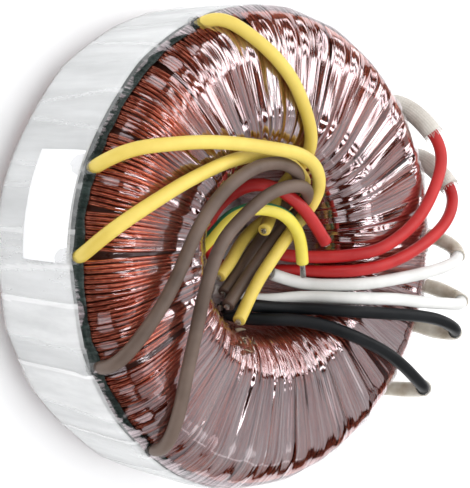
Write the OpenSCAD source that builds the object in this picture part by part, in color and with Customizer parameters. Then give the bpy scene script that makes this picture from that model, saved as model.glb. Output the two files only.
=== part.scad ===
// Toroidal power transformer with its flying leads folded into the centre hole.
// The ring lies flat: +Z is the ring's axis, z = 0 is the face that it rests on.

/* [Ring] */
// Diameter over the rim
ring_d = 150; // [146:1:156]
// Height from the resting face to the crest of the upper face
ring_h = 54; // [52:1:60]
// Diameter of the straight throat of the centre hole
hole_d = 50; // [48:0.5:52]
// Radius of the upper outer edge
top_edge_r = 15; // [13:0.5:15]
// Radius of the upper lip of the centre hole
lip_r = 17; // [14:0.5:17]
// Radius of both lower edges
foot_edge_r = 12; // [12:0.25:13]
// Length of the straight throat above the lower lip
throat_len = 14; // [10:1:15]

/* [Core] */
// Outer diameter of the tape-wound core
core_d = 124; // [118:1:125]
// Bore of the tape-wound core
core_bore = 76; // [75:1:84]
// Height of the tape-wound core
core_h = 28; // [20:1:28]
// Thickness of each core end washer
washer_t = 0.8; // [0.5:0.1:0.9]

/* [Rim] */
// Lowest edge of the white rim band
band_low = 7; // [5:0.5:10]
// Highest edge of the white rim band
band_high = 43; // [40:0.5:44]
// How far the dark strip shows past the band
strip_reveal = 3.5; // [1:0.5:4]
// Height of the blank label
label_h = 19; // [10:1:20]
// Angle that the blank label covers
label_angle = 24; // [10:1:40]
// Angle round the rim at the middle of the blank label
label_middle = 175; // [170:1:180]

/* [Leads] */
// Outer diameter of every lead
lead_d = 4; // [3:0.1:4]
// Diameter of the stranded conductor inside a lead
strand_d = 2; // [1:0.1:2.4]
// Outer diameter of a clear sleeve over a lead
sleeve_d = 5.2; // [4.8:0.1:5.4]
// Outer diameter of a woven sleeve over a lead
woven_d = 6.4; // [5.2:0.1:6.6]
// Bare length at the end of a plain lead
bare_short = 1; // [0.5:0.5:3]
// Bare length at the end of the earth lead
bare_long = 5; // [2:0.5:8]

/* [Hidden] */

$fn = 96;
eps = 0.01;

// Depths below the outer surface at which each layer ends, from the film inwards
film_in = 0.3;
band_in = 0.7;
strip_in = 1;
label_t = 0.15;
label_margin = 1;
yellow_in = 2.6;
insulation_t = 0.3;
brown_in = 4.4;
foil_t = 0.2;
black_in = 7;
white_in = 9.1;
red_in = 11;
tape_in = 11.4;

ring_r = ring_d / 2;
hole_r = hole_d / 2;
throat_top = foot_edge_r + throat_len;
flare = 1;
lip_z = ring_h - lip_r;
shoulder_z = ring_h - top_edge_r;
foil_gap = 6;
core_z = (ring_h - core_h) / 2;
arc_steps = 9;

// Leads
lead_sides = 8;
lead_steps = 2;
sleeve_spans = 3;
sleeve_bore = lead_d + 0.2;

// Routes of the lead centrelines, from where each one leaves the ring to its cut end
route_yellow_a = [
    [-39, 65, 46], [-34, 65.5, 50.5], [-25.5, 61, 55], [-19, 57.5, 56.5], [-10, 51.5, 57],
    [-4.5, 46, 56.5], [1.5, 37.5, 56], [5, 31, 53.5], [6.5, 24, 45.5], [5.5, 19, 40.5], [2.5, 9, 41],
    [-3, 5.5, 44.5]
];
route_yellow_b = [
    [-74, 18, 46], [-70, 20.5, 51], [-64, 24, 54.5], [-54.5, 26, 57], [-47, 27.5, 57.5],
    [-39, 28.5, 58], [-31.5, 29, 60], [-24, 29, 61], [-16.5, 29, 61.5], [-8.5, 29, 61], [1.5, 27, 58.5],
    [8, 23, 55.5], [12, 17.5, 51.5], [10.5, 11, 47.5], [7.5, 4.5, 44.5], [0.5, -4, 45],
    [-4, -10.5, 44.5], [-7.5, -17.5, 44.5], [-12.5, -22.5, 47]
];
route_yellow_c = [
    [-76, -8, 45.5], [-73, -4, 50.5], [-69, 1.5, 54.5], [-61, 8, 57], [-54.5, 12, 57], [-48, 16, 57],
    [-41, 19.5, 57], [-34, 23, 57], [-24, 26, 55.5], [-16.5, 27.5, 54.5], [-8.5, 27.5, 53],
    [-1.5, 26.5, 51.5], [7, 22.5, 50], [12.5, 20.5, 44.5], [14.5, 16, 38.5], [12.5, 11.5, 33],
    [7, 6.5, 30], [-1, 0, 31.5], [-6, -5, 34.5], [-12, -10, 36]
];
route_brown_a = [
    [-65.5, -39, 46], [-62.5, -36.5, 51.5], [-59.5, -30.5, 55.5], [-54.5, -22, 57.5], [-50.5, -15, 58],
    [-47.5, -8, 58.5], [-44, 2, 59], [-40.5, 9, 60], [-36, 15.5, 61], [-30, 20, 61], [-23, 23.5, 60],
    [-13.5, 25.5, 58.5], [-6, 25, 57], [0, 23, 55], [3.5, 19.5, 50.5], [7.5, 14.5, 42.5], [9, 10, 36.5],
    [7, 3.5, 34], [3.5, -2, 32.5], [-4, -9.5, 35], [-10, -15, 36.5]
];
route_brown_b = [
    [-42, -63.5, 46], [-41, -60, 51.5], [-41.5, -51, 56], [-41.5, -43.5, 57.5], [-41, -35.5, 58],
    [-40, -28, 58.5], [-39.5, -17.5, 59.5], [-39.5, -10, 61.5], [-36, -4, 59.5], [-29.5, 3, 56.5],
    [-24, 8.5, 57], [-18, 13.5, 56.5], [-11.5, 17.5, 56.5], [-3, 20, 57], [4, 19, 55], [8.5, 16.5, 50],
    [12, 13.5, 45], [9, 7.5, 41], [4, 1, 40], [-0.5, -5, 40], [-7, -13, 40], [-12.5, -18.5, 41.5]
];
route_earth = [
    [-21.5, -5, 33], [-20.5, 2, 40.5], [-17.5, 10, 45.5], [-8, 12, 49], [-0.5, 11, 50],
    [7.5, 5.5, 49.5], [12.5, -3.5, 47]
];
route_red_a = [
    [55, 55.5, 37], [58, 52.5, 43.5], [62, 46.5, 50.5], [66.5, 41, 53.5], [66, 34, 56],
    [62.5, 26.5, 57], [57.5, 18, 57.5], [52, 12, 57.5], [46, 7.5, 57], [37.5, 2.5, 56],
    [30.5, 0.5, 52.5], [24.5, -1, 48], [20, -1.5, 42.5], [12, -2, 37.5], [9, 0, 31.5]
];
route_red_b = [
    [68.5, 37, 37], [69, 36.5, 43.5], [71, 32, 49.5], [75, 26, 54], [72.5, 20, 57], [68, 13.5, 58],
    [62, 8.5, 57.5], [55.5, 4.5, 57.5], [46, 0, 57], [39, -2.5, 56], [31.5, -4.5, 53.5], [26, -5.5, 49],
    [22.5, -6, 42.5], [15, -6.5, 36], [8, -8, 32.5], [1, -9, 30], [-6, -7, 29.5], [-12, -3, 29.5],
    [-16.5, 5.5, 32.5], [-16, 11.5, 36.5], [-14, 16.5, 41.5], [-10.5, 19.5, 47], [-3.5, 18.5, 49.5],
    [5, 14, 51.5], [11, 9, 52], [17, 3.5, 52]
];
route_white_a = [
    [77, 11, 37], [77.5, 9.5, 44.5], [79.5, 8, 50], [80.5, 5.5, 55], [77, 2, 58], [69.5, -0.5, 59],
    [62, -2.5, 59], [51.5, -5, 58], [44, -6.5, 57], [34, -8.5, 55], [27.5, -9.5, 51], [23.5, -10, 47.5],
    [21, -10.5, 43], [14.5, -9.5, 40], [8, -8, 38.5]
];
route_white_b = [
    [77.5, -7, 37], [80, -8, 44], [83, -9.5, 50], [85, -11.5, 54.5], [81, -13, 58.5], [73.5, -13, 60],
    [63, -13, 60.5], [55, -13, 59.5], [47.5, -12.5, 58], [37, -13, 56], [27, -13.5, 53],
    [22, -14, 47.5], [16.5, -14.5, 42.5], [8, -16.5, 37.5], [-2.5, -16, 34.5], [-10, -14.5, 31.5]
];
route_black_a = [
    [75, -21.5, 37], [76.5, -22, 44], [80, -23.5, 49.5], [83, -23.5, 54.5], [79.5, -22, 58.5],
    [71.5, -19.5, 60], [64, -18, 60], [54, -17.5, 59], [46, -17.5, 57.5], [38, -17.5, 56.5],
    [27, -17.5, 55.5], [20.5, -17.5, 51], [13.5, -18, 44.5], [6.5, -18.5, 41.5], [-3, -18, 39.5],
    [-11, -19.5, 37.5]
];
route_black_b = [
    [62.5, -46.5, 37], [65.5, -44, 42.5], [68.5, -43.5, 48], [70.5, -43, 53], [67, -42, 57],
    [60, -39, 58.5], [53.5, -35, 59], [44.5, -30, 57.5], [37, -27.5, 57], [27, -24.5, 56],
    [20.5, -22.5, 52.5], [11.5, -21.5, 47], [4.5, -22, 44], [-3.5, -22.5, 37.5], [-9.5, -20.5, 33]
];

// ---- geometry helpers ----

function unit(v) = v / norm(v);

// Point on the smooth curve between p1 and p2
function curve(p0, p1, p2, p3, t) =
    0.5 * (2 * p1 + (p2 - p0) * t + (2 * p0 - 5 * p1 + 4 * p2 - p3) * t * t
        + (3 * p1 - p0 - 3 * p2 + p3) * t * t * t);

function before(route, i) = i > 0 ? route[i - 1] : 2 * route[0] - route[1];

function after(route, i) =
    let (last = len(route) - 1) i + 2 <= last ? route[i + 2] : 2 * route[last] - route[last - 1];

function centreline(route) = concat(
    [
        for (i = [0 : len(route) - 2], k = [0 : lead_steps - 1])
            curve(before(route, i), route[i], route[i + 1], after(route, i), k / lead_steps)
    ],
    [route[len(route) - 1]]
);

function tangents(line) = [
    for (i = [0 : len(line) - 1])
        unit(line[min(i + 1, len(line) - 1)] - line[max(i - 1, 0)])
];

function square_to(v, t) = unit(v - (v * t) * t);

// Side directions that turn as little as possible from ring to ring
function side_directions(t) = [
    for (i = 0, s = square_to(cross(t[0], [0.3, 0.5, 0.8]), t[0]); i < len(t);
        i = i + 1, s = i < len(t) ? square_to(s, t[i]) : s)
        s
];

function ring_points(centre, side, other, r) = [
    for (k = [0 : lead_sides - 1])
        let (a = 360 * k / lead_sides) centre + r * (cos(a) * side + sin(a) * other)
];

function tube_points(line, r, count) =
    let (t = tangents(line), s = side_directions(t))
    [for (i = [0 : count - 1]) each ring_points(line[i], s[i], cross(t[i], s[i]), r)];

function wall_faces(count, start, flip) = [
    for (i = [0 : count - 2], k = [0 : lead_sides - 1])
        let (
            a = start + i * lead_sides + k,
            b = start + i * lead_sides + (k + 1) % lead_sides,
            quad = [a, b, b + lead_sides, a + lead_sides]
        )
        each [
            flip ? [quad[0], quad[1], quad[2]] : [quad[2], quad[1], quad[0]],
            flip ? [quad[0], quad[2], quad[3]] : [quad[3], quad[2], quad[0]]
        ]
];

module solid_tube(line, r) {
    count = len(line);
    first_cap = [for (k = [0 : lead_sides - 1]) k];
    last_cap = [for (k = [lead_sides - 1 : -1 : 0]) (count - 1) * lead_sides + k];
    polyhedron(
        points = tube_points(line, r, count),
        faces = concat(wall_faces(count, 0, false), [first_cap, last_cap]),
        convexity = 10
    );
}

module hollow_tube(line, count, r_out, r_in) {
    inner = count * lead_sides;
    ends = [
        for (k = [0 : lead_sides - 1])
            let (n = (k + 1) % lead_sides, e = (count - 1) * lead_sides)
            each [
                [k, n, inner + n], [inner + n, inner + k, k],
                [e + n, e + k, inner + e + k], [inner + e + k, inner + e + n, e + n]
            ]
    ];
    polyhedron(
        points = concat(tube_points(line, r_out, count), tube_points(line, r_in, count)),
        faces = concat(wall_faces(count, 0, false), wall_faces(count, inner, true), ends),
        convexity = 10
    );
}

module aim(from, direction) {
    d = unit(direction);
    translate(from) rotate([0, acos(d[2]), atan2(d[1], d[0])]) children();
}

// ---- the wound ring ----

// Points along a quarter circle about a corner's centre
function corner(x, z, r, from) = [
    for (k = [0 : arc_steps]) let (a = from + 90 * k / arc_steps) [x + r * cos(a), z + r * sin(a)]
];

// Half section of the ring at a depth below its outer surface
function outline(depth) = concat(
    corner(ring_r - foot_edge_r, foot_edge_r, foot_edge_r - depth, -90),
    corner(ring_r - top_edge_r, shoulder_z, top_edge_r - depth, 0),
    corner(hole_r + flare + lip_r, lip_z, lip_r - depth, 90),
    [[hole_r + depth, throat_top]],
    corner(hole_r + foot_edge_r, foot_edge_r, foot_edge_r - depth, 180)
);

module section(depth) polygon(outline(depth));

module layer(from_depth, to_depth)
    rotate_extrude() difference() {
        section(from_depth);
        section(to_depth);
    }

// The part of a layer on the rim between two heights
module rim_layer(from_depth, to_depth, low, high) {
    rotate_extrude() intersection() {
        difference() {
            section(from_depth);
            section(to_depth);
        }
        translate([ring_r - top_edge_r, low]) square([top_edge_r + 1, high - low]);
    }
}

module washer(z) {
    translate([0, 0, z]) difference() {
        cylinder(d = core_d, h = washer_t);
        translate([0, 0, -1]) cylinder(d = core_bore, h = washer_t + 2);
    }
}

// ---- sub-parts ----

module core() color("dimgray") translate([0, 0, core_z]) difference() {
    cylinder(d = core_d, h = core_h);
    translate([0, 0, -1]) cylinder(d = core_bore, h = core_h + 2);
}

module core_washer_top() color("tan") washer(core_z + core_h);

module core_washer_bottom() color("tan") washer(core_z - washer_t);

module core_tape() color("palegoldenrod") layer(red_in, tape_in);

module winding_red() color("peru") layer(white_in + insulation_t, red_in);

module insulation_1() color("ivory") layer(white_in, white_in + insulation_t);

module winding_white() color("peru") layer(black_in + insulation_t, white_in);

module insulation_2() color("ivory") layer(black_in, black_in + insulation_t);

module winding_black() color("peru") layer(brown_in + 2 * insulation_t + foil_t, black_in);

module insulation_3() color("ivory")
    layer(brown_in + insulation_t + foil_t, brown_in + 2 * insulation_t + foil_t);

// Copper foil with a gap, so that it makes no closed turn
module screen_foil() color("chocolate") difference() {
    layer(brown_in + insulation_t, brown_in + insulation_t + foil_t);
    translate([hole_r - 1, -foil_gap / 2, -1]) cube([ring_r, foil_gap, ring_h + 2]);
}

module insulation_4() color("ivory") layer(brown_in, brown_in + insulation_t);

module winding_brown() color("peru") layer(yellow_in + insulation_t, brown_in);

module insulation_5() color("ivory") layer(yellow_in, yellow_in + insulation_t);

// The outermost turns, seen through the film, with room on the rim for the strip and the band
module winding_yellow() color("sienna") difference() {
    layer(film_in, yellow_in);
    rim_layer(film_in - eps, strip_in, band_low - strip_reveal, band_high + strip_reveal);
}

module rim_strip() color("darkslategray")
    rim_layer(band_in, strip_in, band_low - strip_reveal, band_high + strip_reveal);

module rim_band() color("white") rim_layer(film_in, band_in, band_low, band_high);

// Stuck on the film
module label() color("whitesmoke") intersection() {
    rim_layer(-label_t, 0, band_high - label_margin - label_h, band_high - label_margin);
    rotate([0, 0, label_middle - label_angle / 2]) rotate_extrude(angle = label_angle)
        translate([ring_r / 2, 0]) square([ring_r, ring_h]);
}

module outer_film() color("lightgray", 0.6) layer(0, film_in);

// ---- leads ----

module lead(route, tint) color(tint) solid_tube(centreline(route), lead_d / 2);

module strand(route, bare) color("silver") {
    line = centreline(route);
    last = len(line) - 1;
    aim(line[last], line[last] - line[last - 1]) cylinder(d = strand_d, h = bare, $fn = 24);
}

module sleeve(route, d, tint) color(tint)
    hollow_tube(centreline(route), sleeve_spans * lead_steps + 1, d / 2, sleeve_bore / 2);

core();
core_washer_top();
core_washer_bottom();
core_tape();
winding_red();
insulation_1();
winding_white();
insulation_2();
winding_black();
insulation_3();
screen_foil();
insulation_4();
winding_brown();
insulation_5();
winding_yellow();
rim_strip();
rim_band();
label();
outer_film();

lead(route_yellow_a, "gold");  // lead_yellow_a
lead(route_yellow_b, "gold");  // lead_yellow_b
lead(route_yellow_c, "gold");  // lead_yellow_c
lead(route_brown_a, "rosybrown");  // lead_brown_a
lead(route_brown_b, "rosybrown");  // lead_brown_b
lead(route_earth, "yellowgreen");  // lead_earth
lead(route_red_a, "crimson");  // lead_red_a
lead(route_red_b, "crimson");  // lead_red_b
lead(route_white_a, "white");  // lead_white_a
lead(route_white_b, "white");  // lead_white_b
lead(route_black_a, "black");  // lead_black_a
lead(route_black_b, "black");  // lead_black_b

strand(route_yellow_a, bare_short);  // strand_yellow_a
strand(route_yellow_b, bare_short);  // strand_yellow_b
strand(route_yellow_c, bare_short);  // strand_yellow_c
strand(route_brown_a, bare_short);  // strand_brown_a
strand(route_brown_b, bare_short);  // strand_brown_b
strand(route_earth, bare_long);  // strand_earth
strand(route_red_a, bare_short);  // strand_red_a
strand(route_red_b, bare_short);  // strand_red_b
strand(route_white_a, bare_short);  // strand_white_a
strand(route_white_b, bare_short);  // strand_white_b
strand(route_black_a, bare_short);  // strand_black_a
strand(route_black_b, bare_short);  // strand_black_b

sleeve(route_red_a, woven_d, "beige");  // sleeve_red_a
sleeve(route_red_b, woven_d, "beige");  // sleeve_red_b
sleeve(route_white_a, sleeve_d, "linen");  // sleeve_white_a
sleeve(route_white_b, sleeve_d, "linen");  // sleeve_white_b
sleeve(route_black_a, sleeve_d, "linen");  // sleeve_black_a
sleeve(route_black_b, sleeve_d, "linen");  // sleeve_black_b
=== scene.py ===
"""Looks of a toroidal power transformer with its flying leads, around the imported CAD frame.

All units are metres.
"""

import math

import bpy
import numpy as np
from mathutils import Matrix


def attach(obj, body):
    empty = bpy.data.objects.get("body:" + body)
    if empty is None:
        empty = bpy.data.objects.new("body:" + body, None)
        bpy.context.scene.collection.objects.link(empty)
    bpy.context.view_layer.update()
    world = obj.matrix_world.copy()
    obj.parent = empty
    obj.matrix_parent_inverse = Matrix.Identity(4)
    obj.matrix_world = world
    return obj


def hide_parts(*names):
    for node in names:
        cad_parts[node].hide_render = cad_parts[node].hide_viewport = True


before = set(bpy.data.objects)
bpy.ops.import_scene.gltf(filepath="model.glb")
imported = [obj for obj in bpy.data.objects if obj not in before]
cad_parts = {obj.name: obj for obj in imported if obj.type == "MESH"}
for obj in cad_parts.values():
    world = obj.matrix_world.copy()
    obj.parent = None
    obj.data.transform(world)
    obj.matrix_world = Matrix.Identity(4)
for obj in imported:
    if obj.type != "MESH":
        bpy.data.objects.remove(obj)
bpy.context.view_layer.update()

MM = 0.001
TURN = 2 * math.pi

# The ring, as in the CAD
RING_R = 0.075
RING_H = 0.054
HOLE_R = 0.025
TOP_EDGE_R = 0.015
LIP_R = 0.017
FOOT_R = 0.012
FLARE = 0.001
THROAT_TOP = 0.026
BAND_LOW = 0.007
BAND_HIGH = 0.043
STRIP_HIGH = 0.0465

# The outer winding: groups of turns that lie side by side
GROUPS = 38
TURNS_IN_GROUP = 8
WIRE_D = 0.00118
WIRE_PITCH = 0.00138

# The clear film
TONE = "wrap_tone"
BUILD = "film_build"
FILM_COLUMNS = 980
FILM_ROWS = 96
WRAPS = 44
RIDGE_FOLDS = 100
WIDE_FOLDS = 66
MIDDLE_FOLDS = 170
RIM_FILM_BELOW = 0.002
RIM_FILM_ABOVE = 0.0003

LEAD_R = 0.002
SPAN_STEPS = 6
LEAD_STEP = 0.0012
EASING = 24
SLEEVE_START = 0.006
SLEEVE_END = {"woven": 0.0325, "clear": 0.0350}

# Centrelines of the leads, from where each leaves the ring to its cut end, as in the CAD
ROUTES = {
    "yellow_a": [
        (-0.039, 0.065, 0.046), (-0.034, 0.0655, 0.0505), (-0.0255, 0.061, 0.055),
        (-0.019, 0.0575, 0.0565), (-0.01, 0.0515, 0.057), (-0.0045, 0.046, 0.0565),
        (0.0015, 0.0375, 0.056), (0.005, 0.031, 0.0535), (0.0065, 0.024, 0.0455),
        (0.0055, 0.019, 0.0405), (0.0025, 0.009, 0.041), (-0.003, 0.0055, 0.0445)
    ],
    "yellow_b": [
        (-0.074, 0.018, 0.046), (-0.07, 0.0205, 0.051), (-0.064, 0.024, 0.0545),
        (-0.0545, 0.026, 0.057), (-0.047, 0.0275, 0.0575), (-0.039, 0.0285, 0.058),
        (-0.0315, 0.029, 0.06), (-0.024, 0.029, 0.061), (-0.0165, 0.029, 0.0615),
        (-0.0085, 0.029, 0.061), (0.0015, 0.027, 0.0585), (0.008, 0.023, 0.0555),
        (0.012, 0.0175, 0.0515), (0.0105, 0.011, 0.0475), (0.0075, 0.0045, 0.0445),
        (0.0005, -0.004, 0.045), (-0.004, -0.0105, 0.0445), (-0.0075, -0.0175, 0.0445),
        (-0.0125, -0.0225, 0.047)
    ],
    "yellow_c": [
        (-0.076, -0.008, 0.0455), (-0.073, -0.004, 0.0505), (-0.069, 0.0015, 0.0545),
        (-0.061, 0.008, 0.057), (-0.0545, 0.012, 0.057), (-0.048, 0.016, 0.057),
        (-0.041, 0.0195, 0.057), (-0.034, 0.023, 0.057), (-0.024, 0.026, 0.0555),
        (-0.0165, 0.0275, 0.0545), (-0.0085, 0.0275, 0.053), (-0.0015, 0.0265, 0.0515),
        (0.007, 0.0225, 0.05), (0.0125, 0.0205, 0.0445), (0.0145, 0.016, 0.0385),
        (0.0125, 0.0115, 0.033), (0.007, 0.0065, 0.03), (-0.001, 0.0, 0.0315), (-0.006, -0.005, 0.0345),
        (-0.012, -0.01, 0.036)
    ],
    "brown_a": [
        (-0.0655, -0.039, 0.046), (-0.0625, -0.0365, 0.0515), (-0.0595, -0.0305, 0.0555),
        (-0.0545, -0.022, 0.0575), (-0.0505, -0.015, 0.058), (-0.0475, -0.008, 0.0585),
        (-0.044, 0.002, 0.059), (-0.0405, 0.009, 0.06), (-0.036, 0.0155, 0.061), (-0.03, 0.02, 0.061),
        (-0.023, 0.0235, 0.06), (-0.0135, 0.0255, 0.0585), (-0.006, 0.025, 0.057), (0.0, 0.023, 0.055),
        (0.0035, 0.0195, 0.0505), (0.0075, 0.0145, 0.0425), (0.009, 0.01, 0.0365),
        (0.007, 0.0035, 0.034), (0.0035, -0.002, 0.0325), (-0.004, -0.0095, 0.035),
        (-0.01, -0.015, 0.0365)
    ],
    "brown_b": [
        (-0.042, -0.0635, 0.046), (-0.041, -0.06, 0.0515), (-0.0415, -0.051, 0.056),
        (-0.0415, -0.0435, 0.0575), (-0.041, -0.0355, 0.058), (-0.04, -0.028, 0.0585),
        (-0.0395, -0.0175, 0.0595), (-0.0395, -0.01, 0.0615), (-0.036, -0.004, 0.0595),
        (-0.0295, 0.003, 0.0565), (-0.024, 0.0085, 0.057), (-0.018, 0.0135, 0.0565),
        (-0.0115, 0.0175, 0.0565), (-0.003, 0.02, 0.057), (0.004, 0.019, 0.055), (0.0085, 0.0165, 0.05),
        (0.012, 0.0135, 0.045), (0.009, 0.0075, 0.041), (0.004, 0.001, 0.04), (-0.0005, -0.005, 0.04),
        (-0.007, -0.013, 0.04), (-0.0125, -0.0185, 0.0415)
    ],
    "earth": [
        (-0.0215, -0.005, 0.033), (-0.0205, 0.002, 0.0405), (-0.0175, 0.01, 0.0455),
        (-0.008, 0.012, 0.049), (-0.0005, 0.011, 0.05), (0.0075, 0.0055, 0.0495),
        (0.0125, -0.0035, 0.047)
    ],
    "red_a": [
        (0.055, 0.0555, 0.037), (0.058, 0.0525, 0.0435), (0.062, 0.0465, 0.0505),
        (0.0665, 0.041, 0.0535), (0.066, 0.034, 0.056), (0.0625, 0.0265, 0.057),
        (0.0575, 0.018, 0.0575), (0.052, 0.012, 0.0575), (0.046, 0.0075, 0.057),
        (0.0375, 0.0025, 0.056), (0.0305, 0.0005, 0.0525), (0.0245, -0.001, 0.048),
        (0.02, -0.0015, 0.0425), (0.012, -0.002, 0.0375), (0.009, 0.0, 0.0315)
    ],
    "red_b": [
        (0.0685, 0.037, 0.037), (0.069, 0.0365, 0.0435), (0.071, 0.032, 0.0495), (0.075, 0.026, 0.054),
        (0.0725, 0.02, 0.057), (0.068, 0.0135, 0.058), (0.062, 0.0085, 0.0575),
        (0.0555, 0.0045, 0.0575), (0.046, 0.0, 0.057), (0.039, -0.0025, 0.056),
        (0.0315, -0.0045, 0.0535), (0.026, -0.0055, 0.049), (0.0225, -0.006, 0.0425),
        (0.015, -0.0065, 0.036), (0.008, -0.008, 0.0325), (0.001, -0.009, 0.03),
        (-0.006, -0.007, 0.0295), (-0.012, -0.003, 0.0295), (-0.0165, 0.0055, 0.0325),
        (-0.016, 0.0115, 0.0365), (-0.014, 0.0165, 0.0415), (-0.0105, 0.0195, 0.047),
        (-0.0035, 0.0185, 0.0495), (0.005, 0.014, 0.0515), (0.011, 0.009, 0.052),
        (0.017, 0.0035, 0.052)
    ],
    "white_a": [
        (0.077, 0.011, 0.037), (0.0775, 0.0095, 0.0445), (0.0795, 0.008, 0.05), (0.0805, 0.0055, 0.055),
        (0.077, 0.002, 0.058), (0.0695, -0.0005, 0.059), (0.062, -0.0025, 0.059),
        (0.0515, -0.005, 0.058), (0.044, -0.0065, 0.057), (0.034, -0.0085, 0.055),
        (0.0275, -0.0095, 0.051), (0.0235, -0.01, 0.0475), (0.021, -0.0105, 0.043),
        (0.0145, -0.0095, 0.04), (0.008, -0.008, 0.0385)
    ],
    "white_b": [
        (0.0775, -0.007, 0.037), (0.08, -0.008, 0.044), (0.083, -0.0095, 0.05),
        (0.085, -0.0115, 0.0545), (0.081, -0.013, 0.0585), (0.0735, -0.013, 0.06),
        (0.063, -0.013, 0.0605), (0.055, -0.013, 0.0595), (0.0475, -0.0125, 0.058),
        (0.037, -0.013, 0.056), (0.027, -0.0135, 0.053), (0.022, -0.014, 0.0475),
        (0.0165, -0.0145, 0.0425), (0.008, -0.0165, 0.0375), (-0.0025, -0.016, 0.0345),
        (-0.01, -0.0145, 0.0315)
    ],
    "black_a": [
        (0.075, -0.0215, 0.037), (0.0765, -0.022, 0.044), (0.08, -0.0235, 0.0495),
        (0.083, -0.0235, 0.0545), (0.0795, -0.022, 0.0585), (0.0715, -0.0195, 0.06),
        (0.064, -0.018, 0.06), (0.054, -0.0175, 0.059), (0.046, -0.0175, 0.0575),
        (0.038, -0.0175, 0.0565), (0.027, -0.0175, 0.0555), (0.0205, -0.0175, 0.051),
        (0.0135, -0.018, 0.0445), (0.0065, -0.0185, 0.0415), (-0.003, -0.018, 0.0395),
        (-0.011, -0.0195, 0.0375)
    ],
    "black_b": [
        (0.0625, -0.0465, 0.037), (0.0655, -0.044, 0.0425), (0.0685, -0.0435, 0.048),
        (0.0705, -0.043, 0.053), (0.067, -0.042, 0.057), (0.06, -0.039, 0.0585),
        (0.0535, -0.035, 0.059), (0.0445, -0.03, 0.0575), (0.037, -0.0275, 0.057),
        (0.027, -0.0245, 0.056), (0.0205, -0.0225, 0.0525), (0.0115, -0.0215, 0.047),
        (0.0045, -0.022, 0.044), (-0.0035, -0.0225, 0.0375), (-0.0095, -0.0205, 0.033)
    ],
}

# ---- camera ----

EYE = (-0.29964, 0.00036, 0.34864)
CAMERA_RIGHT = (0.7267, 0.0927, 0.6807)
CAMERA_UP = (-0.0677, 0.9957, -0.0634)
CAMERA_BACK = (-0.6836, 0.0, 0.7298)
LENS = 101.94


def make_camera():
    """The camera at the viewing angle of the main picture."""
    data = bpy.data.cameras.new("camera")
    data.sensor_width = 36
    data.lens = LENS
    data.clip_start = 0.01
    camera = bpy.data.objects.new("camera", data)
    axes = zip(CAMERA_RIGHT, CAMERA_UP, CAMERA_BACK, EYE)
    camera.matrix_world = Matrix([*(list(row) for row in axes), [0, 0, 0, 1]])
    bpy.context.scene.collection.objects.link(camera)
    bpy.context.scene.camera = camera


# ---- mesh helpers ----


def add_mesh(name, points, faces, materials, smooth=True, face_materials=None):
    """A mesh object in the row frame."""
    mesh = bpy.data.meshes.new(name)
    mesh.from_pydata([tuple(p) for p in points], [], [tuple(f) for f in faces])
    mesh.update()
    for item in materials:
        mesh.materials.append(item)
    if face_materials is not None:
        mesh.polygons.foreach_set("material_index", np.asarray(face_materials, np.int32))
    mesh.polygons.foreach_set("use_smooth", np.full(len(mesh.polygons), smooth))
    piece = bpy.data.objects.new(name, mesh)
    bpy.context.scene.collection.objects.link(piece)
    return piece


def add_piece(name, points, faces, material, slot, *nodes, smooth=True, face_materials=None):
    """A visible piece that rides on the one body and stands for CAD nodes."""
    materials = material if isinstance(material, list) else [material]
    piece = add_mesh(name, points, faces, materials, smooth, face_materials)
    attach(piece, "root")
    if nodes:
        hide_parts(*nodes)
    return piece


def grid_faces(rows, columns, wrap_rows, wrap_columns, flip=False):
    """Quads of a grid of points, row by row, as an array."""
    i = np.arange(rows if wrap_rows else rows - 1)
    j = np.arange(columns if wrap_columns else columns - 1)
    i, j = np.meshgrid(i, j, indexing="ij")
    below, right = (i + 1) % rows, (j + 1) % columns
    corners = [i * columns + j, i * columns + right, below * columns + right, below * columns + j]
    quads = np.stack(corners, -1).reshape(-1, 4)
    return quads[:, ::-1] if flip else quads


def smooth_route(route):
    """A dense line through the route's points, on a Catmull-Rom curve."""
    p = np.array(route, float)
    p = np.vstack([2 * p[0] - p[1], p, 2 * p[-1] - p[-2]])
    line = []
    for i in range(1, len(p) - 2):
        for k in range(SPAN_STEPS):
            t = k / SPAN_STEPS
            line.append(
                0.5
                * (
                    2 * p[i]
                    + (p[i + 1] - p[i - 1]) * t
                    + (2 * p[i - 1] - 5 * p[i] + 4 * p[i + 1] - p[i + 2]) * t * t
                    + (3 * p[i] - p[i - 1] - 3 * p[i + 1] + p[i + 2]) * t**3
                )
            )
    line.append(p[-2])
    return np.array(line)


def frames_along(line):
    """Unit tangents and two side directions, turning as little as possible."""
    tangent = np.gradient(line, axis=0)
    tangent /= np.linalg.norm(tangent, axis=1)[:, None]
    side = np.zeros_like(line)
    guess = np.cross(tangent[0], (0.3, 0.5, 0.8))
    for i, t in enumerate(tangent):
        guess = guess - (guess @ t) * t
        guess = guess / np.linalg.norm(guess)
        side[i] = guess
    return tangent, side, np.cross(tangent, side)


def tube(line, radius, sides):
    """Points and faces of a closed tube. The radius is one number, or a value for each point and side."""
    line = np.asarray(line, float)
    _, side, other = frames_along(line)
    a = TURN * np.arange(sides) / sides
    if np.ndim(radius) == 1:
        radius = np.reshape(radius, (-1, 1))
    radius = np.broadcast_to(radius, (len(line), sides))
    rings = line[:, None] + radius[..., None] * (
        np.cos(a)[None, :, None] * side[:, None] + np.sin(a)[None, :, None] * other[:, None]
    )
    points = np.vstack([rings.reshape(-1, 3), line[0], line[-1]])
    faces = [tuple(f) for f in grid_faces(len(line), sides, False, True)]
    first, last, top = len(line) * sides, len(line) * sides + 1, (len(line) - 1) * sides
    for k in range(sides):
        n = (k + 1) % sides
        faces.append((first, n, k))
        faces.append((last, top + k, top + n))
    return points, faces


def join(parts):
    """Several (points, faces) as one."""
    points, faces, count = [], [], 0
    for part_points, part_faces in parts:
        points.append(part_points)
        faces.extend(tuple(int(v) + count for v in f) for f in part_faces)
        count += len(part_points)
    return np.vstack(points), faces


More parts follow.
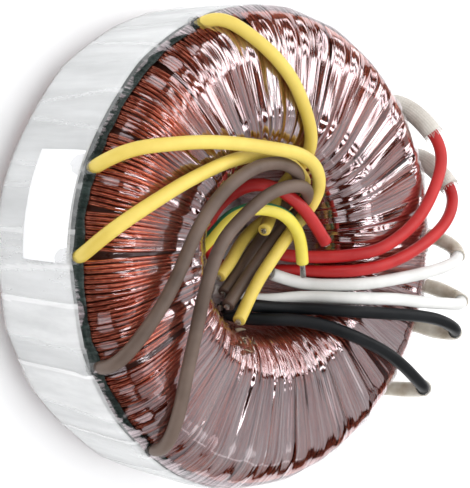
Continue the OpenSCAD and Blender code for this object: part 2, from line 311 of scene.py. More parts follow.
def resample(line, step):
    """Points at equal steps along a line."""
    reach = np.concatenate([[0], np.cumsum(np.linalg.norm(np.diff(line, axis=0), axis=1))])
    at = np.linspace(0, reach[-1], max(2, int(round(reach[-1] / step)) + 1))
    return np.stack([np.interp(at, reach, line[:, k]) for k in range(3)], -1)


def under_film(start):
    """The first points of a lead, from under the band up to where it leaves the film at its start."""
    x, y, z = start
    azimuth = math.atan2(y, x)
    return [
        ((RING_R - sunk) * math.cos(azimuth), (RING_R - sunk) * math.sin(azimuth), z - drop)
        for sunk, drop in ((0.0062, 0.0085), (0.0040, 0.0045), (0.0012, 0.0))
    ]


def lead_line(name):
    """The lead's centreline, eased, with one more close ring at its cut end."""
    route = ROUTES[name]
    if name != "earth":
        route = under_film(route[0]) + route[1:]
    line = resample(smooth_route(route), LEAD_STEP)
    for _ in range(EASING):
        line[1:-1] += 0.25 * (line[:-2] - 2 * line[1:-1] + line[2:])
    out = line[-1] - line[-2]
    out /= np.linalg.norm(out)
    return np.vstack([line, line[-1] + out * 0.15 * MM])



# ---- materials ----


class Look:
    """A node material built up a piece at a time."""

    def __init__(self, name, **values):
        self.material = bpy.data.materials.new(name)
        self.material.use_nodes = True
        self.tree = self.material.node_tree
        self.shader = self.tree.nodes["Principled BSDF"]
        self.set(**values)

    def set(self, **values):
        for name, value in values.items():
            self.shader.inputs[name.replace("_", " ")].default_value = value

    def node(self, kind, **settings):
        made = self.tree.nodes.new(kind)
        for name, value in settings.items():
            setattr(made, name, value)
        return made

    def link(self, source, target):
        self.tree.links.new(source, target)

    def feed(self, name, source):
        self.link(source, self.shader.inputs[name])

    def place(self, scale=(1, 1, 1)):
        """Object coordinates, stretched by a scale on each axis."""
        mapping = self.node("ShaderNodeMapping")
        mapping.inputs["Scale"].default_value = scale
        self.link(self.node("ShaderNodeTexCoord").outputs["Object"], mapping.inputs["Vector"])
        return mapping.outputs["Vector"]

    def angle(self):
        """The separate coordinates, and the angle round the ring's axis."""
        split = self.node("ShaderNodeSeparateXYZ")
        self.link(self.node("ShaderNodeTexCoord").outputs["Object"], split.inputs[0])
        return split, self.math("ARCTAN2", split.outputs["Y"], split.outputs["X"])

    def around(self, turn_scale, along_scale):
        """Coordinates that run round the ring's axis quickly and along a turn of wire slowly."""
        split, angle = self.angle()
        flat = self.node("ShaderNodeCombineXYZ")
        self.link(split.outputs["X"], flat.inputs["X"])
        self.link(split.outputs["Y"], flat.inputs["Y"])
        length = self.node("ShaderNodeVectorMath", operation="LENGTH")
        self.link(flat.outputs[0], length.inputs[0])
        along = self.math("SUBTRACT", split.outputs["Z"], length.outputs["Value"])
        made = self.node("ShaderNodeCombineXYZ")
        self.link(self.math("MULTIPLY", self.math("COSINE", angle), turn_scale), made.inputs["X"])
        self.link(self.math("MULTIPLY", self.math("SINE", angle), turn_scale), made.inputs["Y"])
        self.link(self.math("MULTIPLY", along, along_scale), made.inputs["Z"])
        return made.outputs[0]

    def math(self, operation, first, second=None):
        made = self.node("ShaderNodeMath", operation=operation)
        for socket, value in zip(made.inputs, (first, second)):
            if value is None:
                continue
            if isinstance(value, (int, float)):
                socket.default_value = value
            else:
                self.link(value, socket)
        return made.outputs[0]

    def noise(self, vector, scale, detail=3.0, roughness=0.55):
        made = self.node("ShaderNodeTexNoise")
        made.inputs["Scale"].default_value = scale
        made.inputs["Detail"].default_value = detail
        made.inputs["Roughness"].default_value = roughness
        self.link(vector, made.inputs["Vector"])
        return made.outputs["Fac"]

    def ramp(self, fac, stops):
        made = self.node("ShaderNodeValToRGB")
        elements = made.color_ramp.elements
        while len(elements) < len(stops):
            elements.new(0.5)
        for element, (position, colour) in zip(elements, stops):
            element.position = position
            element.color = (*colour, 1)
        self.link(fac, made.inputs["Fac"])
        return made.outputs["Color"]

    def spread(self, fac, low, high, from_low=0.3, from_high=0.7):
        """A 0 to 1 pattern turned into values between low and high."""
        made = self.node("ShaderNodeMapRange")
        ends = {"From Min": from_low, "From Max": from_high, "To Min": low, "To Max": high}
        for name, value in ends.items():
            made.inputs[name].default_value = value
        self.link(fac, made.inputs["Value"])
        return made.outputs["Result"]

    def bump(self, height, distance, strength=1.0):
        made = self.node("ShaderNodeBump")
        made.inputs["Distance"].default_value = distance
        made.inputs["Strength"].default_value = strength
        self.link(height, made.inputs["Height"])
        self.feed("Normal", made.outputs["Normal"])


def plastic(name, dark, light, roughness, grain=900, shine=0.5):
    """Extruded PVC: faint colour drift, fingered gloss and a fine skin."""
    look = Look(name, IOR=1.5, Specular_IOR_Level=shine, Coat_Weight=0.1 * shine, Coat_Roughness=0.3)
    broad = look.noise(look.place(), 60, 4)
    fine = look.noise(look.place(), grain, 2)
    look.feed("Base Color", look.ramp(broad, [(0.35, dark), (0.65, light)]))
    look.feed("Roughness", look.spread(broad, roughness - 0.07, roughness + 0.08))
    look.bump(fine, 0.00004, 0.5)
    return look.material


def metal(name, dark, light, roughness, metallic=1.0, scale=400):
    look = Look(name, Metallic=metallic)
    broad = look.noise(look.place(), scale, 4)
    look.feed("Base Color", look.ramp(broad, [(0.3, dark), (0.7, light)]))
    look.feed("Roughness", look.spread(broad, roughness - 0.08, roughness + 0.1))
    look.bump(broad, 0.00005, 0.4)
    return look.material


def fibrous(name, dark, light, roughness, scale=500):
    """Board, tape or fleece: matt, mottled, with a fine fibre."""
    look = Look(name, IOR=1.45)
    broad = look.noise(look.place((1, 1, 0.3)), scale * 0.2, 4)
    fine = look.noise(look.place((1, 1, 0.4)), scale, 4)
    look.feed("Base Color", look.ramp(broad, [(0.3, dark), (0.7, light)]))
    look.feed("Roughness", look.spread(fine, roughness - 0.08, roughness + 0.1))
    look.bump(fine, 0.0001, 0.5)
    return look.material


def enamelled_wire():
    """Enamelled copper: orange metal under a clear coat, darker where the enamel is thick."""
    look = Look("enamelled_wire", Metallic=0.85, Coat_Weight=0.4, Coat_Roughness=0.08)
    along = look.noise(look.around(9.0, 60), 8, 3)
    broad = look.noise(look.place(), 45, 3)
    mixed = look.math("ADD", look.math("MULTIPLY", along, 0.6), look.math("MULTIPLY", broad, 0.4))
    look.feed("Base Color", look.ramp(mixed, [(0.3, (0.40, 0.060, 0.034)), (0.7, (1.0, 0.34, 0.21))]))
    look.feed("Roughness", look.spread(along, 0.16, 0.26))
    look.bump(look.noise(look.place(), 900, 2), 0.00001, 0.4)
    return look.material


def face_film():
    """Layers of clear film over copper: part mirror, part clear. The layers pile up towards the hole."""
    look = Look("face_film", Metallic=1.0)
    crease = look.noise(look.around(34.0, 5), 3.2, 3, 0.5)
    haze = look.noise(look.around(6.0, 12), 3.0, 3)
    look.feed("Base Color", look.ramp(haze, [(0.3, (0.68, 0.53, 0.56)), (0.7, (0.93, 0.85, 0.88))]))
    look.feed("Roughness", look.spread(haze, 0.05, 0.12))
    piled = look.node("ShaderNodeAttribute", attribute_name=BUILD).outputs["Fac"]
    wander = look.math("MULTIPLY", haze, 5.0)
    turns = look.math("MULTIPLY", look.angle()[1], float(GROUPS * TURNS_IN_GROUP))
    ridge = look.math("SINE", look.math("ADD", turns, wander))
    patchy = look.math("ADD", look.spread(crease, -0.28, 0.30), look.math("MULTIPLY", ridge, 0.05))
    look.feed("Alpha", look.math("ADD", piled, patchy))
    look.bump(look.math("ADD", crease, look.math("MULTIPLY", ridge, 0.16)), 0.00004, 0.6)
    return look.material


def rim_film():
    """The same film on the rim, flat and clear over the white band, its laps a little milky."""
    look = Look("rim_film", IOR=1.55, Specular_IOR_Level=0.9)
    haze = look.noise(look.around(5.0, 15), 4.0, 4)
    tone = look.node("ShaderNodeAttribute", attribute_name=TONE).outputs["Fac"]
    mixed = look.math("ADD", look.math("MULTIPLY", haze, 0.35), look.math("MULTIPLY", tone, 0.65))
    look.feed("Base Color", look.ramp(mixed, [(0.2, (0.40, 0.41, 0.41)), (0.8, (0.96, 0.96, 0.96))]))
    look.feed("Roughness", look.spread(haze, 0.1, 0.25))
    look.feed("Alpha", look.spread(mixed, 0.20, 0.60, 0.2, 0.8))
    look.bump(haze, 0.0003, 0.4)
    return look.material


def banded(name, stops, roughness):
    """A rim tape whose tone steps slightly from wrap to wrap."""
    look = Look(name, IOR=1.48)
    broad = look.noise(look.around(4.5, 6), 3.0, 3)
    fine = look.noise(look.place((1, 1, 0.5)), 800, 3)
    look.feed("Base Color", look.ramp(broad, stops))
    look.feed("Roughness", look.spread(fine, roughness - 0.1, roughness + 0.1))
    look.bump(fine, 0.00005, 0.4)
    return look.material


def clear_sleeving():
    look = Look("clear_sleeving", IOR=1.45)
    broad = look.noise(look.place(), 130, 4)
    look.feed("Base Color", look.ramp(broad, [(0.3, (0.44, 0.37, 0.27)), (0.7, (0.68, 0.64, 0.56))]))
    look.feed("Roughness", look.spread(broad, 0.25, 0.45))
    look.feed("Alpha", look.spread(broad, 0.5, 0.72))
    look.bump(look.noise(look.place(), 700, 3), 0.0001, 0.5)
    return look.material


def woven_glass():
    look = Look("woven_glass", IOR=1.5, Sheen_Weight=0.3)
    broad = look.noise(look.place(), 150, 3)
    yarn = look.noise(look.place(), 2500, 2)
    look.feed("Base Color", look.ramp(broad, [(0.3, (0.40, 0.365, 0.32)), (0.7, (0.60, 0.57, 0.52))]))
    look.feed("Roughness", look.spread(yarn, 0.6, 0.85))
    look.bump(yarn, 0.0001, 0.5)
    return look.material


# ---- the ring's outline ----


def arc_part(x, z, radius, start, steps=24):
    a = np.radians(start + 90 * np.arange(steps + 1) / steps)
    return [(x + radius * math.cos(v), z + radius * math.sin(v), math.cos(v), math.sin(v)) for v in a]


OUTLINE = np.array(
    arc_part(RING_R - FOOT_R, FOOT_R, FOOT_R, -90)
    + arc_part(RING_R - TOP_EDGE_R, RING_H - TOP_EDGE_R, TOP_EDGE_R, 0)
    + arc_part(HOLE_R + FLARE + LIP_R, RING_H - LIP_R, LIP_R, 90)
    + [(HOLE_R, THROAT_TOP, -1.0, 0.0)]
    + arc_part(HOLE_R + FOOT_R, FOOT_R, FOOT_R, 180)
)
OUTLINE = np.vstack([OUTLINE, OUTLINE[:1]])
STATION = np.concatenate([[0], np.cumsum(np.hypot(*np.diff(OUTLINE[:, :2], axis=0).T))])
LOOP = STATION[-1]


def outline_at(s):
    """r, z and the outward direction at stations s along the section's outline."""
    s = np.mod(s, LOOP)
    return [np.interp(s, STATION, OUTLINE[:, k]) for k in range(4)]


def ring_points(s, theta, out):
    """Points on the ring at station s, angle theta and height out above the outline."""
    r, z, nr, nz = outline_at(s)
    r, z = r + out * nr, z + out * nz
    return np.stack([r * np.cos(theta), r * np.sin(theta), z], -1)


def rim_station(z):
    """The station of a height on the rim."""
    outer = STATION[:50]
    return np.interp(z, OUTLINE[:50, 1], outer)


S_BAND_LOW, S_BAND_HIGH, S_STRIP_HIGH = (float(rim_station(z)) for z in (BAND_LOW, BAND_HIGH, STRIP_HIGH))
S_STRIP_LOW = float(rim_station(0.003))
S_LIP = float(STATION[50])


def smooth_step(x, low, high):
    t = np.clip((x - low) / (high - low), 0, 1)
    return t * t * (3 - 2 * t)


def drift(rng, cells, rows, count):
    """count random values at each of rows stations, changing smoothly along the closed section."""
    knots = rng.uniform(-1, 1, (cells, count))
    x = np.arange(rows) / rows * cells
    i, t = np.floor(x).astype(int), x % 1
    t = (t * t * (3 - 2 * t))[:, None]
    return knots[i % cells] * (1 - t) + knots[(i + 1) % cells] * t


def folds(rng, count, cells, rows, theta, wander=0.14, alternate=False):
    """Creased sheet, -1 to 1, rows by angles: flat facets between creases that wander along the turns."""
    shift = rng.uniform(-0.34, 0.34, count) + drift(rng, cells, rows, count) * wander
    height = drift(rng, cells, rows, count)
    if alternate:
        height = (0.3 + 0.7 * np.abs(height)) * np.where(np.arange(count) % 2, 1, -1)
    made = np.empty((rows, len(theta)))
    for row in range(rows):
        x = (np.arange(count) + shift[row]) * TURN / count
        made[row] = np.interp(np.mod(theta, TURN), x, height[row], period=TURN)
    return made


# ---- the ring ----


def film_build(r, theta):
    """How thickly the film's layers lie: least on the outer edge at the side where the leads start."""
    aside = np.abs(np.mod(theta, TURN) - TURN / 2)
    clear = 1 - smooth_step(aside, math.radians(28), math.radians(55))
    lower = smooth_step(-np.sin(theta), 0.1, 0.5)
    edge = smooth_step(r, 0.043, 0.060)[:, None]
    lip = 1 - smooth_step(r, 0.034, 0.044)[:, None]
    outer = smooth_step(r, 0.062, 0.071)[:, None]
    return 0.56 + 0.08 * lower - 0.46 * edge * clear - 0.30 * lip * lower - 0.20 * outer * (1 - clear)




def rim_creases():
    """Angles of the film's wraps on the rim, shared by everything that lies on it."""
    rng = np.random.default_rng(11)
    return (np.arange(WRAPS) + rng.uniform(-0.3, 0.3, WRAPS)) * TURN / WRAPS


def rim_height(theta):
    """How far the rim's flat facets stand out."""
    rng = np.random.default_rng(12)
    return np.interp(np.mod(theta, TURN), rim_creases(), rng.uniform(-0.35, 0.65, WRAPS), period=TURN) * MM


def turns():
    """The outer winding's copper turns, each one a closed loop round the section."""
    rng = np.random.default_rng(21)
    stations = 56
    sides = 5
    s = np.arange(stations) / stations * LOOP
    r, z, nr, nz = outline_at(s)
    crowd = smooth_step(-r, -0.062, -0.036)
    points, faces = [], []
    quads = grid_faces(stations, sides, True, True)
    around = TURN * np.arange(sides) / sides
    for group in range(GROUPS):
        middle = (group + rng.uniform(-0.07, 0.07)) * TURN / GROUPS
        lean = drift(rng, 4, stations, 1)[:, 0] * 0.012
        for turn in range(TURNS_IN_GROUP):
            spacing = np.minimum(WIRE_PITCH / r, TURN / GROUPS / TURNS_IN_GROUP)
            wobble = drift(rng, 7, stations, 1)[:, 0] * 0.12 * WIRE_D / r
            theta = middle + lean + (turn - (TURNS_IN_GROUP - 1) / 2) * spacing + wobble
            depth = 0.87 * MM + crowd * (turn % 2) * 0.95 * MM + rng.uniform(0, 0.12) * MM
            c, w = np.cos(theta)[:, None], np.sin(theta)[:, None]
            out = (depth * -1)[:, None] + WIRE_D / 2 * np.cos(around)[None, :]
            side = WIRE_D / 2 * np.sin(around)[None, :]
            rr = r[:, None] + out * nr[:, None]
            zz = z[:, None] + out * nz[:, None]
            loop = np.stack([rr * c - side * w, rr * w + side * c, zz], -1)
            faces.append(quads + len(points) * stations * sides)
            points.append(loop.reshape(-1, 3))
    return np.vstack(points), np.vstack(faces)


def lead_bulge(s, theta):
    """How far the film is lifted over each lead's start."""
    r, _, _, _ = outline_at(s)
    lift = np.zeros(np.broadcast_shapes(s.shape, theta.shape))
    for name, route in ROUTES.items():
        if name == "earth":
            continue
        azimuth = math.atan2(route[0][1], route[0][0])
        aside = (np.mod(theta - azimuth + TURN / 2, TURN) - TURN / 2) * r
        along = (s - float(rim_station(route[0][2] - 0.003))) / (3.2 * MM)
        lift += 1.5 * MM * np.exp(-((aside / (2.6 * MM)) ** 2) - along**2)
    return lift


def film():
    """The outer film: creased along the turns on the faces and in the hole, flat lapped wraps on the rim."""
    rng = np.random.default_rng(31)
    theta = TURN * np.arange(FILM_COLUMNS) / FILM_COLUMNS
    s = np.arange(FILM_ROWS) / FILM_ROWS * LOOP
    r, z, _, _ = outline_at(s)
    ridges = folds(rng, RIDGE_FOLDS, 4, FILM_ROWS, theta, alternate=True)
    wide = folds(rng, WIDE_FOLDS, 4, FILM_ROWS, theta)
    middle = folds(rng, MIDDLE_FOLDS, 5, FILM_ROWS, theta)
    lower = smooth_step(-np.sin(theta), 0.0, 0.5)
    creased = (0.42 - 0.16 * lower) * ridges + 0.44 * wide + (0.18 - 0.05 * lower) * middle
    on_face = 1 - smooth_step(s, S_BAND_LOW - 0.012, S_BAND_LOW - 0.004) * (
        1 - smooth_step(s, S_BAND_HIGH, S_BAND_HIGH + 0.006)
    )
    taper = np.clip(r / 0.045, 0.45, 1)
    face = (0.35 + taper[:, None] * creased) * MM
    slant = rng.uniform(-0.2, 0.2, WRAPS) * TURN / WRAPS
    edges = rim_creases()
    lap = np.empty((FILM_ROWS, FILM_COLUMNS))
    tone = np.empty_like(lap)
    wrap_tone = rng.uniform(0, 1, WRAPS)
    for row in range(FILM_ROWS):
        at = np.sort(np.mod(edges + slant * (z[row] - 0.025) / 0.018, TURN))
        wrap = np.searchsorted(at, theta) % WRAPS
        lap[row] = np.clip(np.mod(theta - at[wrap - 1], TURN) / (TURN / WRAPS), 0, 1.4)
        tone[row] = 0.7 * wrap_tone[wrap] + 0.3 * (lap[row] < 0.14)
    rim = rim_height(theta)[None, :] + (0.5 + 0.22 * lap + 0.05 * middle) * MM
    out = on_face[:, None] * face + (1 - on_face[:, None]) * rim
    out = np.maximum(out, -0.25 * MM) + lead_bulge(s[:, None], theta[None, :])
    points = ring_points(s[:, None], theta[None, :], out).reshape(-1, 3)
    points[:, 2] = np.maximum(points[:, 2], 0)
    faces = grid_faces(FILM_ROWS, FILM_COLUMNS, True, True)
    on_rim = (s > S_BAND_LOW - RIM_FILM_BELOW) & (s < S_BAND_HIGH + RIM_FILM_ABOVE)
    marks = {TONE: tone, BUILD: film_build(r, theta)}
    return points, faces, np.repeat(on_rim.astype(int), FILM_COLUMNS), marks


def lip_shreds():
    """Torn ends of paper tape that stick out at the lip of the hole."""
    rng = np.random.default_rng(71)
    t = np.linspace(0, 1, 9)
    parts = []
    for _ in range(12):
        s = S_LIP + rng.uniform(*SHRED_REACH) + rng.uniform(-3.5, -0.5) * MM * t
        theta = math.radians(rng.uniform(*SHRED_ANGLES)) + rng.uniform(-0.12, 0.04) * t
        out = 0.3 * MM + rng.uniform(0.8, 3.0) * MM * t**0.7
        width = rng.uniform(0.35, 1.0) * MM * np.sqrt(1.02 - t)
        sides = np.stack([width, 0.08 * MM + 0 * t] * 2, -1)
        parts.append(tube(ring_points(s, theta, out), sides, 4))
    return join(parts)


SHRED_REACH = (0.0095, 0.0165)
SHRED_ANGLES = (-124, -104)

COLLARED = ("yellow_a", "yellow_b", "yellow_c", "brown_a", "brown_b")


def film_collar(name, seed):
    """The film drawn up round a lead where it comes out at the band's edge."""
    rng = np.random.default_rng(seed)
    sides = 30
    line = lead_line(name)
    dense = resample(line[COLLAR_FROM:COLLAR_TO], 0.35 * MM)
    t = np.linspace(0, 1, len(dense))[:, None]
    crinkle = 0.16 * MM * drift(rng, 4, len(dense), sides) * (1 - 0.5 * t)
    outer = LEAD_R + 0.22 * MM + 1.4 * MM * (1 - t) ** 2 + crinkle
    return hollow(dense, outer, outer - 0.08 * MM, sides)


COLLAR_FROM, COLLAR_TO = 6, 9


def rim_shell(low, high, theta, inner, outer, rows=18):
    """A closed strip on the rim between stations low and high, which may vary round the ring."""
    closed = len(theta) > 400
    t = np.linspace(0, 1, rows)[:, None]
    s = np.broadcast_to(low + (high - low) * t, (rows, len(theta)))
    skins = np.vstack([ring_points(s, theta, outer), ring_points(s, theta, inner)[::-1]])
    faces = grid_faces(2 * rows, s.shape[1], True, closed)
    if not closed:
        faces = [tuple(f) for f in faces]
        last = s.shape[1] - 1
        for i in range(rows - 1):
            a, b = i * (last + 1), (2 * rows - 1 - i) * (last + 1)
            faces.append((a, a + last + 1, b - last - 1, b))
            faces.append((b + last, b - 1, a + 2 * last + 1, a + last))
    return skins.reshape(-1, 3), faces


def ragged(theta, count, size, seed):
    """An edge of short straight pieces."""
    rng = np.random.default_rng(seed)
    x = (np.arange(count) + rng.uniform(-0.3, 0.3, count)) * TURN / count
    return np.interp(np.mod(theta, TURN), x, rng.uniform(-size, size, count), period=TURN)


def strip_tape():
    theta = TURN * np.arange(720) / 720
    height = ragged(theta, 150, 0.5 * MM, 41)
    outside = -0.12 * MM + ragged(theta, 90, 0.08 * MM, 42)
    return rim_shell(S_STRIP_LOW - height, S_STRIP_HIGH + height, theta, -0.3 * MM, outside)


def white_band():
    theta = TURN * np.arange(720) / 720
    edge = ragged(theta, WRAPS // 2, 0.5 * MM, 43)
    base = rim_height(theta)
    return rim_shell(S_BAND_LOW - edge, S_BAND_HIGH + edge, theta, base - 0.1 * MM, base + 0.22 * MM)


LABEL_MIDDLE = math.radians(175)
LABEL_TURN = math.radians(24)
LABEL_TOP = 0.0428
LABEL_LOW = 0.023


def blank_label():
    theta = LABEL_MIDDLE + LABEL_TURN * (np.arange(49) / 48 - 0.5)
    low, high = rim_station(LABEL_LOW), rim_station(LABEL_TOP)
    base = rim_height(theta)
    return rim_shell(low, high, theta, base + 0.84 * MM, base + 1.0 * MM, rows=14)


def make_ring():
    points, faces = turns()
    add_piece("copper_turns", points, faces, enamelled_wire(), "enamelled_copper_outer", "winding_yellow")
    points, faces, on_rim, marks = film()
    collars = join([film_collar(name, 90 + seed) for seed, name in enumerate(COLLARED)])
    shreds = lip_shreds()
    points, faces = join([(points, faces), collars, shreds])
    on_rim = np.concatenate([on_rim, np.full(len(collars[1]), 1), np.full(len(shreds[1]), 2)])
    added = np.full(len(collars[0]) + len(shreds[0]), 0.1)
    marks = {name: np.concatenate([np.ravel(values), added]) for name, values in marks.items()}
    paper = fibrous("paper_tape", (0.27, 0.23, 0.15), (0.47, 0.42, 0.31), 0.8)
    looks = [face_film(), rim_film(), paper]
    wrapped = add_piece(
        "wrapped_film", points, faces, looks, "clear_film", "outer_film", face_materials=on_rim
    )
    for name, values in marks.items():
        layer = wrapped.data.attributes.new(name, "FLOAT", "POINT")
        layer.data.foreach_set("value", values.astype(np.float32).ravel())
    dark = banded("dark_strip", [(0.35, (0.012, 0.020, 0.017)), (0.65, (0.040, 0.058, 0.052))], 0.25)
    add_piece("strip_tape", *strip_tape(), dark, "dark_green_strip", "rim_strip")
    white = banded("white_tape", [(0.3, (0.60, 0.61, 0.61)), (0.7, (0.85, 0.86, 0.86))], 0.5)
    add_piece("white_band", *white_band(), white, "white_band", "rim_band")
    paper = banded("label_paper", [(0.3, (0.88, 0.89, 0.90)), (0.7, (0.95, 0.95, 0.96))], 0.55)
    add_piece("blank_label", *blank_label(), paper, "white_label", "label")


# ---- leads ----

# Each lead's material slot, bare length and sleeve
LEADS = {
    "yellow_a": ("pvc_yellow", 0.001, None),
    "yellow_b": ("pvc_yellow", 0.001, None),
    "yellow_c": ("pvc_yellow", 0.001, None),
    "brown_a": ("pvc_brown", 0.001, None),
    "brown_b": ("pvc_brown", 0.001, None),
    "earth": ("pvc_earth", 0.005, None),
    "red_a": ("pvc_red", 0.001, "woven"),
    "red_b": ("pvc_red", 0.001, "woven"),
    "white_a": ("pvc_white", 0.001, "clear"),
    "white_b": ("pvc_white", 0.001, "clear"),
    "black_a": ("pvc_black", 0.001, "clear"),
    "black_b": ("pvc_black", 0.001, "clear"),
}
LEAD_SIDES = 24
GREEN_SIDES = (2, 3, 4, 5, 6, 7, 8)


def lead_colours():
    return {
        "pvc_yellow": [plastic("pvc_yellow", (0.60, 0.45, 0.075), (0.72, 0.56, 0.115), 0.45)],
        "pvc_brown": [plastic("pvc_brown", (0.085, 0.055, 0.040), (0.145, 0.098, 0.075), 0.5)],
        "pvc_red": [plastic("pvc_red", (0.33, 0.009, 0.010), (0.47, 0.020, 0.019), 0.36, shine=0.4)],
        "pvc_white": [plastic("pvc_white", (0.54, 0.54, 0.52), (0.67, 0.67, 0.65), 0.4)],
        "pvc_black": [plastic("pvc_black", (0.003, 0.004, 0.005), (0.010, 0.011, 0.013), 0.4, shine=0.22)],
        "pvc_earth": [
            plastic("pvc_earth_yellow", (0.62, 0.52, 0.05), (0.78, 0.66, 0.10), 0.38),
            plastic("pvc_earth_green", (0.02, 0.16, 0.08), (0.045, 0.26, 0.13), 0.38),
        ],
    }


def strand_parts(start, direction, bare):
    """Fine wires laid in a slow twist, with their tips slightly spread."""
    rng = np.random.default_rng(51)
    _, side, other = frames_along(np.array([start, start + direction, start + 2 * direction]))
    parts = []
    rows = 9
    for wire in range(12):
        ring = 0.0 if wire < 3 else 0.62 * MM
        phase = TURN * wire / (3 if wire < 3 else 9)
        ring = 0.24 * MM if wire < 3 else ring
        t = np.linspace(0, 1, rows)
        a = phase + t * bare * 350
        spread = 1 + 0.3 * rng.uniform(0, 1) * t**2
        reach = -1.2 * MM + t * (bare + 1.2 * MM + rng.uniform(-0.2, 0.1) * MM)
        line = (
            start
            + reach[:, None] * direction
            + (ring * spread * np.cos(a))[:, None] * side[0]
            + (ring * spread * np.sin(a))[:, None] * other[0]
        )
        parts.append(tube(line, 0.21 * MM, 6))
    return parts


def woven_sleeve(line, seed):
    """A braided sleeve: two sets of yarns over and under, and a frayed end."""
    rng = np.random.default_rng(seed)
    sides = 72
    dense = resample(line, 0.25 * MM)
    a = np.arange(sides) / sides
    along = np.arange(len(dense)) * 0.25 * MM
    turn = along[:, None] / (7.0 * MM)
    weave = np.sin(TURN * (12 * a[None, :] + 4 * turn)) * np.sin(TURN * (12 * a[None, :] - 4 * turn))
    radius = WOVEN_R + 0.16 * MM * weave + 0.1 * MM * drift(rng, 6, len(dense), 1)
    parts = [tube(dense, radius, sides)]
    end, out = dense[-1], dense[-1] - dense[-5]
    out /= np.linalg.norm(out)
    _, side, other = frames_along(dense)
    for fibre in range(46):
        phase = TURN * fibre / 46 + rng.uniform(-0.05, 0.05)
        radial = math.cos(phase) * side[-1] + math.sin(phase) * other[-1]
        t = np.linspace(0, 1, 6)[:, None]
        reach = rng.uniform(0.5, 2.2) * MM
        flare = rng.uniform(-0.3, 0.6) * MM
        sway = rng.uniform(-0.5, 0.5) * MM * np.cross(out, radial)
        path = end + (WOVEN_R - 0.1 * MM) * radial - 0.5 * MM * out + t * (reach + 0.5 * MM) * out
        path = path + t**2 * (flare * radial + sway)
        parts.append(tube(path, 0.07 * MM, 5))
    return parts


WOVEN_R = 0.0033
SLEEVE_R = 0.0026


def clear_sleeve(line, seed):
    """A thin soft tube that is slightly crushed, open at its far end."""
    rng = np.random.default_rng(seed)
    sides = 32
    dense = resample(line, 0.5 * MM)
    a = TURN * np.arange(sides) / sides
    crush = 0.12 * MM * drift(rng, 5, len(dense), 1) * np.cos(2 * a)[None, :]
    outer = SLEEVE_R + crush + 0.08 * MM * drift(rng, 9, len(dense), 3)[:, :1]
    lip = np.linspace(0, 1, len(dense))[:, None] > 0.97
    outer = outer + lip * 0.15 * MM
    return [hollow(dense, outer, outer - 0.4 * MM, sides)]


def hollow(line, outer, inner, sides):
    """A tube with a bore, open at both ends."""
    line = np.asarray(line, float)
    _, side, other = frames_along(line)
    a = TURN * np.arange(sides) / sides
    spokes = np.cos(a)[None, :, None] * side[:, None] + np.sin(a)[None, :, None] * other[:, None]
    outside = line[:, None] + outer[..., None] * spokes
    inside = line[:, None] + inner[..., None] * spokes
    rings = np.vstack([outside, inside[::-1]])
    return rings.reshape(-1, 3), grid_faces(2 * len(line), sides, True, True)


def make_leads():
    colours = lead_colours()
    tinned = metal("tinned_strand", (0.62, 0.60, 0.57), (0.80, 0.78, 0.75), 0.3)
    woven, clear = woven_glass(), clear_sleeving()
    for seed, (name, (slot, bare, sleeve)) in enumerate(LEADS.items()):
        line = lead_line(name)
        rng = np.random.default_rng(60 + seed)
        radius = LEAD_R * (1 + 0.012 * drift(rng, 9, len(line), 1)[:, 0])
        radius[-1] *= 0.9
        points, faces = tube(line, radius, LEAD_SIDES)
        stripe = None
        if slot == "pvc_earth":
            stripe = np.zeros(len(faces), int)
            body = np.arange((len(line) - 1) * LEAD_SIDES)
            stripe[body] = np.isin(body % LEAD_SIDES, GREEN_SIDES)
        lead = add_piece(
            "wire_" + name, points, faces, colours[slot], slot, "lead_" + name, face_materials=stripe
        )
        direction = line[-1] - line[-2]
        direction /= np.linalg.norm(direction)
        strands = join(strand_parts(line[-1], direction, bare))
        goes_with = [add_piece("wires_" + name, *strands, tinned, "tinned_strand", "strand_" + name)]
        if sleeve:
            covered = line[int(SLEEVE_START / LEAD_STEP) : int(SLEEVE_END[sleeve] / LEAD_STEP) + 1]
            make = woven_sleeve if sleeve == "woven" else clear_sleeve
            finish, finish_slot = (woven, "woven_sleeve") if sleeve == "woven" else (clear, "clear_sleeve")
            tube_parts = join(make(covered, 80 + seed))
            goes_with.append(add_piece("cover_" + name, *tube_parts, finish, finish_slot, "sleeve_" + name))


# ---- what the CAD keeps inside ----


def finish_inner_nodes():
    """Materials for the CAD nodes that stay as they are."""
    film_look = fibrous("polyester_film", (0.055, 0.016, 0.010), (0.12, 0.035, 0.022), 0.3, 300)
    wire_look = metal("inner_wire", (0.35, 0.10, 0.05), (0.6, 0.22, 0.12), 0.35)
    looks = {
        "core": metal("core_steel", (0.22, 0.22, 0.23), (0.38, 0.38, 0.40), 0.4),
        "core_washer_top": fibrous("pressboard", (0.45, 0.33, 0.19), (0.58, 0.45, 0.28), 0.8),
        "core_tape": fibrous("amber_tape", (0.50, 0.36, 0.10), (0.66, 0.50, 0.18), 0.4),
        "screen_foil": metal("copper_foil", (0.55, 0.20, 0.10), (0.75, 0.32, 0.19), 0.25),
    }
    looks["core_washer_bottom"] = looks["core_washer_top"]
    for name in ("winding_red", "winding_white", "winding_black", "winding_brown"):
        looks[name] = wire_look
    for number in range(1, 6):
        looks[f"insulation_{number}"] = film_look
    for name, look in looks.items():
        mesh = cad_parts[name].data
        mesh.materials.clear()
        mesh.materials.append(look)


# ---- stage ----


def make_floor():
    look = Look("floor", Roughness=0.7)
    broad = look.noise(look.place(), 3, 3)
    look.feed("Base Color", look.ramp(broad, [(0.3, (0.90, 0.90, 0.90)), (0.7, (0.93, 0.93, 0.93))]))
    size, count = 3.0, 13
    x, y = np.meshgrid(np.linspace(-size, size, count), np.linspace(-size, size, count))
    points = np.stack([x.ravel(), y.ravel(), np.full(x.size, -0.0002)], -1)
    floor = add_mesh("floor", points, grid_faces(count, count, False, False), [look.material])


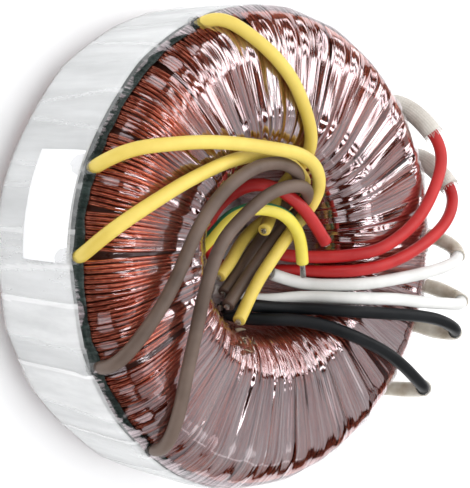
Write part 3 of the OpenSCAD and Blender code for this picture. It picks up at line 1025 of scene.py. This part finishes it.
MIRRORED = np.array((0.68, 0.0, 0.73)) / math.hypot(0.68, 0.73)
LIGHT_TARGET = np.array((0, 0, 0.05))


def make_light(name, turn, tilt, distance, size, radiance):
    """A soft rectangular light that faces the ring, out of the camera's sight.

    Tilt is measured from the direction that the ring's flat face mirrors to the camera, and turn goes round it
    from the right (degrees). The light's length points away from that direction.
    """
    turn, tilt = math.radians(turn), math.radians(tilt)
    aside = math.cos(turn) * np.array((MIRRORED[2], 0, -MIRRORED[0])) + math.sin(turn) * np.array((0, 1, 0))
    back = math.cos(tilt) * MIRRORED + math.sin(tilt) * aside
    along = math.cos(tilt) * aside - math.sin(tilt) * MIRRORED
    across = np.cross(along, back)
    place = LIGHT_TARGET + distance * back
    data = bpy.data.lights.new(name, "AREA")
    data.shape = "RECTANGLE"
    data.size, data.size_y = size
    data.energy = radiance * math.pi * size[0] * size[1]
    light = bpy.data.objects.new(name, data)
    axes = zip(across.tolist(), along.tolist(), back.tolist(), place.tolist())
    light.matrix_world = Matrix([*(list(row) for row in axes), [0, 0, 0, 1]])
    light.visible_camera = False
    bpy.context.scene.collection.objects.link(light)


# Name, turn, tilt, distance, width and length, radiance
LIGHTS = (
    ("low_panel", -90, 17, 0.62, (0.50, 0.60), 0.48),
    ("low_side", -90, 64, 0.62, (0.40, 0.54), 0.46),
    ("low_left", -128, 46, 0.55, (0.24, 0.46), 0.42),
    ("low_right", 0, 37, 0.60, (0.30, 0.24), 0.26),
    ("left_top", 137, 88, 0.55, (0.26, 0.24), 1.35),
    ("left_low", -137, 88, 0.55, (0.26, 0.22), 0.9),
    ("spoke_1", 30, 33, 0.52, (0.050, 0.24), 3.0),
    ("spoke_2", 58, 38, 0.52, (0.050, 0.42), 3.0),
    ("spoke_3", 82, 42, 0.52, (0.050, 0.50), 3.0),
    ("spoke_4", 104, 41, 0.52, (0.050, 0.54), 3.2),
    ("spoke_5", 126, 44, 0.52, (0.055, 0.54), 3.2),
    ("spoke_6", 148, 40, 0.52, (0.040, 0.50), 3.0),
    ("spoke_7", 170, 46, 0.52, (0.030, 0.50), 6.0),
    ("spoke_8", -164, 46, 0.52, (0.026, 0.46), 5.0),
)


def make_stage():
    make_floor()
    world = bpy.data.worlds.new("world")
    bpy.context.scene.world = world
    world.use_nodes = True
    background = world.node_tree.nodes["Background"]
    background.inputs["Color"].default_value = (0.985, 0.985, 1.0, 1)
    background.inputs["Strength"].default_value = 1.12
    world.cycles_visibility.glossy = False
    for light in LIGHTS:
        make_light(*light)
    bpy.context.scene.view_settings.view_transform = "Standard"


make_camera()
make_leads()
make_ring()
finish_inner_nodes()
make_stage()
